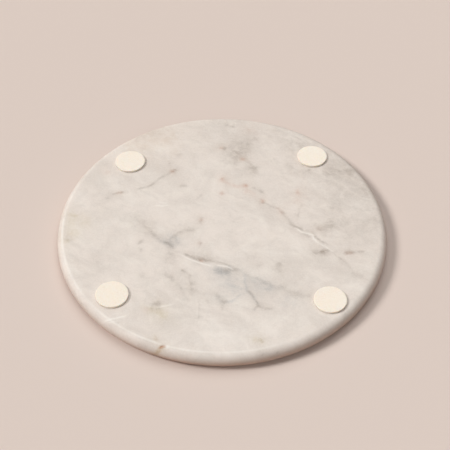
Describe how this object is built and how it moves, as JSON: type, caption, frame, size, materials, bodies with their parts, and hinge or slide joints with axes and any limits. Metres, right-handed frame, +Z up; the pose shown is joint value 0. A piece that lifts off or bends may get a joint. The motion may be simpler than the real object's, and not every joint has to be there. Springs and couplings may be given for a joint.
{
  "type": "serving board",
  "caption": "Round marble cheese board with a rounded rim and self-adhesive felt feet, lying on its serving face.",
  "frame": {"origin": "centre of the round serving face, which is the lowest face as the board lies in the picture", "axes": "+Z up, from the serving face to the felt feet; -Y is the side nearest the camera and +X is its right; a half turn about X puts the board in use on its feet"},
  "size_m": [0.3, 0.3, 0.016],
  "materials": {
    "marble": "honed",
    "felt": "pressed felt",
    "adhesive": "satin"
  },
  "bodies": {
    "root": {"marble_slab": "marble", "adhesive_back_left": "adhesive", "adhesive_back_right": "adhesive", "adhesive_front_left": "adhesive", "adhesive_front_right": "adhesive", "felt_pad_back_left": "felt", "felt_pad_back_right": "felt", "felt_pad_front_left": "felt", "felt_pad_front_right": "felt"}
  },
  "joints": []
}
